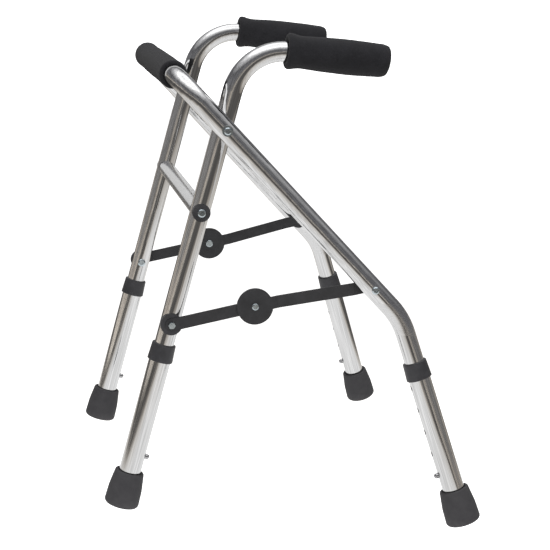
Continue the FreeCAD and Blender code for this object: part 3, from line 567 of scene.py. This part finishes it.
def make_handle_grip(side, foam):
    node = f"handle_grip_{side}"
    start, end = long_axis(node)
    direction = (end - start).normalized()
    length = (end - start).length
    low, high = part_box(node)
    widest = (high.y - low.y) / 2
    outline = handle_outline(length, widest)
    piece = lathe(f"foam_handle_{side}", outline, False, start, direction)
    slant_end(piece, start, direction, length, widest, 1.2 * MILLIMETRE)
    soften(piece, start, direction, WAVE_SEEDS[side], 0.35 * MILLIMETRE)
    dress_grip(piece, node, "front_frame", foam)


def make_bar_grip(foam):
    """The sleeve on the top bar: plain, with rounded ends that draw in on the tube."""
    start, end = long_axis("bar_grip")
    direction = (end - start).normalized()
    low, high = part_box("bar_grip")
    widest = (high.z - low.z) / 2
    length = (end - start).length
    half = (
        (0.0006, GRIP_BORE),
        (0.0001, GRIP_BORE + 0.0007),
        (0.0000, GRIP_BORE + 0.0020),
        (0.0007, widest - 0.0012),
        (0.0030, widest - 0.0002),
        (0.0100, widest - 0.0001),
        (0.0400, widest - 0.0003),
        (0.1000, widest),
    )
    other = [(length - distance, radius) for distance, radius in reversed(half)]
    skin = smooth_curve((*half, *other), BAR_RINGS)
    piece = lathe("foam_bar", skin, True, start, direction)
    soften(piece, start, direction, WAVE_SEEDS["bar"], 0.3 * MILLIMETRE)
    dress_grip(piece, "bar_grip", "rear_frame", foam)


# ---------------------------------------------------------------- the studio


def stage_plane(name, size, height, material):
    bpy.ops.mesh.primitive_plane_add(size=size, location=(0, 0, height))
    plane = bpy.context.object
    plane.name = name
    plane.data.materials.append(material)
    return plane


def away(tree):
    """The distance from the middle of the floor."""
    return add(tree, "VectorMath", {0: place(tree)}, operation="LENGTH").outputs["Value"]


def make_floor():
    """A pale sheet of paper, and a glowing floor sheet that the feet stand on, which only the metal
    reflects and which lights the object from below.

    The paper is lit to white all the way back, and lies clear of a leg drawn out to its last hole.
    The glowing sheet's colour is a painted pool of light: white near the object, falling off to the
    grey of the room around it.
    """
    paper, tree, shader = new_material(
        "studio_paper",
        Roughness=0.95,
        Specular_IOR_Level=0.05,
        Base_Color=(0.85, 0.85, 0.85, 1.0),
        Emission_Color=(1.0, 1.0, 1.0, 1.0),
    )
    connect(tree, shader, Emission_Strength=spread(tree, away(tree), 0.72, 1.02, 0.35, 2.5))
    seen = stage_plane("floor_paper", PAPER_SIZE, -PAPER_DROP, paper)
    seen.visible_glossy = False
    seen.visible_diffuse = False
    # painted light: a sheet that glows, its colour a painted pool of light fading from white to the
    # room's grey
    glow, tree, shader = new_material(
        "painted_floor_glow",
        Roughness=1.0,
        Specular_IOR_Level=0.0,
        Base_Color=(0.0, 0.0, 0.0, 1.0),
        Emission_Strength=1.0,
    )
    reach = math_of(tree, "ADD", away(tree), cloud(tree, place(tree), 1.6))
    colour = colour_ramp(
        tree,
        spread(tree, reach, 0.0, 1.0, 0.95, 2.3),
        (0.00, (0.92, 0.92, 0.92)),
        (0.45, (0.66, 0.63, 0.59)),
        (0.70, (0.33, 0.30, 0.265)),
        (1.00, (0.105, 0.10, 0.095)),
    )
    connect(tree, shader, Emission_Color=colour)
    reflected = stage_plane("floor_glow_reflected", REFLECTED_FLOOR_SIZE, -MILLIMETRE, glow)
    reflected.visible_camera = False
    reflected.visible_shadow = False


def room_colour(tree, height):
    """The room's colour by height: a warm skyline, dim walls and a bright ceiling."""
    return colour_ramp(
        tree,
        spread(tree, height, 0.0, 1.0, -1.0, 1.0),
        (0.000, (0.30, 0.29, 0.28)),
        (0.480, (0.11, 0.105, 0.10)),
        (0.500, (0.36, 0.33, 0.29)),
        (0.512, (0.26, 0.23, 0.20)),
        (0.530, (0.13, 0.125, 0.12)),
        (0.620, (0.095, 0.095, 0.10)),
        (0.745, (0.085, 0.085, 0.09)),
        (0.800, (0.26, 0.26, 0.265)),
        (0.850, (0.42, 0.42, 0.43)),
        (0.900, (0.85, 0.85, 0.86)),
        (0.940, (1.60, 1.60, 1.60)),
        (1.000, (1.25, 1.25, 1.26)),
    )


def room_strength(tree, parts):
    """The room's brightness round the horizon: uneven stands, and a lighter wall in front."""
    bearing = math_of(tree, "ARCTAN2", parts["Y"], parts["X"])
    upright = add(
        tree,
        "TexNoise",
        {"W": bearing, "Scale": 13.0, "Detail": 7.0, "Roughness": 0.85},
        noise_dimensions="1D",
    ).outputs["Fac"]
    stands = spread(tree, upright, 0.35, 3.4, 0.36, 0.70)
    fade = spread(tree, math_of(tree, "ABSOLUTE", parts["Z"]), 0.0, 1.0, 0.45, 0.9)
    strength = add(tree, "Mix", {0: fade, 2: stands, 3: 1.0}).outputs[0]
    return math_of(tree, "MULTIPLY", strength, spread(tree, parts["X"], 1.35, 1.0, -1.0, -0.8))


def make_world():
    """A dim room for the metal to reflect, with a pale backdrop, and plain white for the camera."""
    world = bpy.data.worlds.new("studio")
    bpy.context.scene.world = world
    world.use_nodes = True
    tree = world.node_tree
    tree.nodes.clear()
    parts = split(tree, add(tree, "TexCoord").outputs["Generated"])
    behind = spread(tree, parts["Y"], 0.0, 1.0, 0.88, 0.93)
    ends = {0: behind, 6: room_colour(tree, parts["Z"]), 7: (0.62, 0.62, 0.62, 1.0)}
    colour = add(tree, "Mix", ends, data_type="RGBA").outputs[2]
    strength = add(tree, "Mix", {0: behind, 2: room_strength(tree, parts), 3: 1.0}).outputs[0]
    room = add(tree, "Background", {"Color": colour, "Strength": strength})
    blank = add(tree, "Background", {"Color": (1.0, 1.0, 1.0, 1.0), "Strength": 1.0})
    seen = add(tree, "LightPath").outputs["Is Camera Ray"]
    mixed = add(tree, "MixShader", {0: seen, 1: room.outputs[0], 2: blank.outputs[0]})
    output = tree.nodes.new("ShaderNodeOutputWorld")
    tree.links.new(mixed.outputs[0], output.inputs["Surface"])


def softbox(name, place_at, target, width, height, power):
    """A soft lamp that lights the object, but is seen neither directly nor in the metal."""
    light = bpy.data.lights.new(name, "AREA")
    light.shape = "RECTANGLE"
    light.size = width
    light.size_y = height
    light.energy = power
    lamp = bpy.data.objects.new(name, light)
    lamp.location = place_at
    lamp.rotation_euler = (Vector(target) - Vector(place_at)).to_track_quat("-Z", "Y").to_euler()
    lamp.visible_camera = False
    lamp.visible_glossy = False
    bpy.context.scene.collection.objects.link(lamp)


def make_lights():
    softbox("overhead_softbox", (0.1, 0.2, 2.3), (0.0, 0.0, 0.0), 2.6, 2.2, 12.0)
    softbox("front_softbox", (-0.5, -3.0, 1.5), (0.0, 0.0, 0.3), 2.2, 1.6, 69.0)
    softbox("left_softbox", (-2.6, -1.2, 1.1), (0.0, 0.0, 0.35), 0.9, 1.4, 4.0)
    softbox("right_softbox", (2.4, -0.8, 0.9), (0.0, 0.0, 0.3), 0.9, 1.4, 2.0)


def make_camera():
    camera = bpy.data.cameras.new("camera")
    camera.sensor_width = SENSOR
    camera.lens = SENSOR * LENS_TO_SENSOR
    camera.clip_end = 200.0
    holder = bpy.data.objects.new("camera", camera)
    turn = Matrix.Rotation(-CAMERA_YAW, 4, "Z") @ Matrix.Rotation(math.pi / 2 - CAMERA_PITCH, 4, "X")
    holder.matrix_world = Matrix.Translation(CAMERA_PLACE) @ turn @ Matrix.Rotation(CAMERA_ROLL, 4, "Z")
    bpy.context.scene.collection.objects.link(holder)
    bpy.context.scene.camera = holder


paint_tubes()
paint_small_parts()
make_leaf_springs()
foam = cell_foam("grip_foam")
for side in SIDES:
    make_handle_grip(side, foam)
make_bar_grip(foam)
make_floor()
make_world()
make_lights()
make_camera()
bpy.context.scene.view_settings.view_transform = "Standard"
